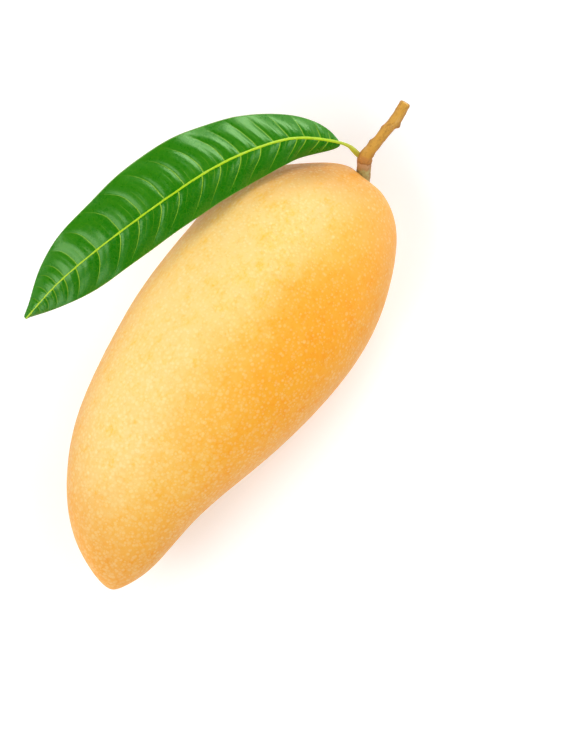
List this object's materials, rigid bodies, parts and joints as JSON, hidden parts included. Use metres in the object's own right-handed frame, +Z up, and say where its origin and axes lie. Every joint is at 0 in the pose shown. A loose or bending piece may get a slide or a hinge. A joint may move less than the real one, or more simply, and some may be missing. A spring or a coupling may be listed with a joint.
{
  "type": "mango",
  "caption": "Whole ripe mango of the long yellow kind, lying on its cheek on a small flat spot, with its cut woody stem and a veined leaf.",
  "frame": {"origin": "centre of the small flat spot on the underside of the fruit", "axes": "+X from the fruit's tip to its stem end, +Y towards the side that the leaf hangs over, +Z up from the surface it rests on"},
  "size_m": [0.1858, 0.1027, 0.0611],
  "materials": {
    "skin": "satin",
    "bark": "matte",
    "leaf_green": "satin"
  },
  "bodies": {
    "root": {"fruit": "skin", "stem": "bark", "leaf": "leaf_green"}
  },
  "joints": []
}
